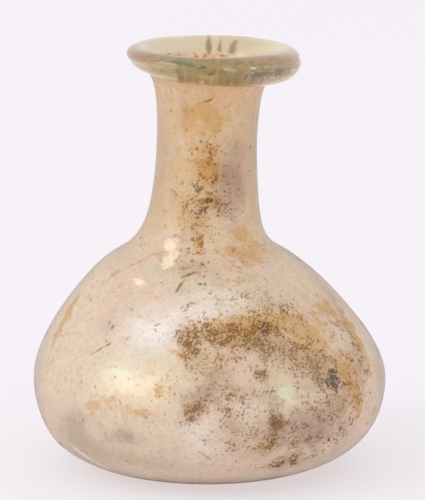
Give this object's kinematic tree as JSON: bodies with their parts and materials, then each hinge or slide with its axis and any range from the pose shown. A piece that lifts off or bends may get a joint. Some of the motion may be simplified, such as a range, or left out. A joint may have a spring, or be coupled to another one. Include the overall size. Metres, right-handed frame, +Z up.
{
  "type": "glass perfume flask",
  "caption": "Squat blown-glass perfume flask with a wide low belly, slender neck and folded lip, hollow and open at the mouth.",
  "frame": {"origin": "under the middle of the body, on the plane of the flat ring that the flask stands on", "axes": "+Z up out of the mouth, +X towards the fatter, lower side of the lip, -Y towards the viewer of the front"},
  "size_m": [0.0748, 0.074, 0.0893],
  "materials": {
    "glass": "weathered pale green-yellow soda-lime glass, milky and iridescent, with brown soil crust"
  },
  "bodies": {
    "root": {"flask": "glass"}
  },
  "joints": []
}
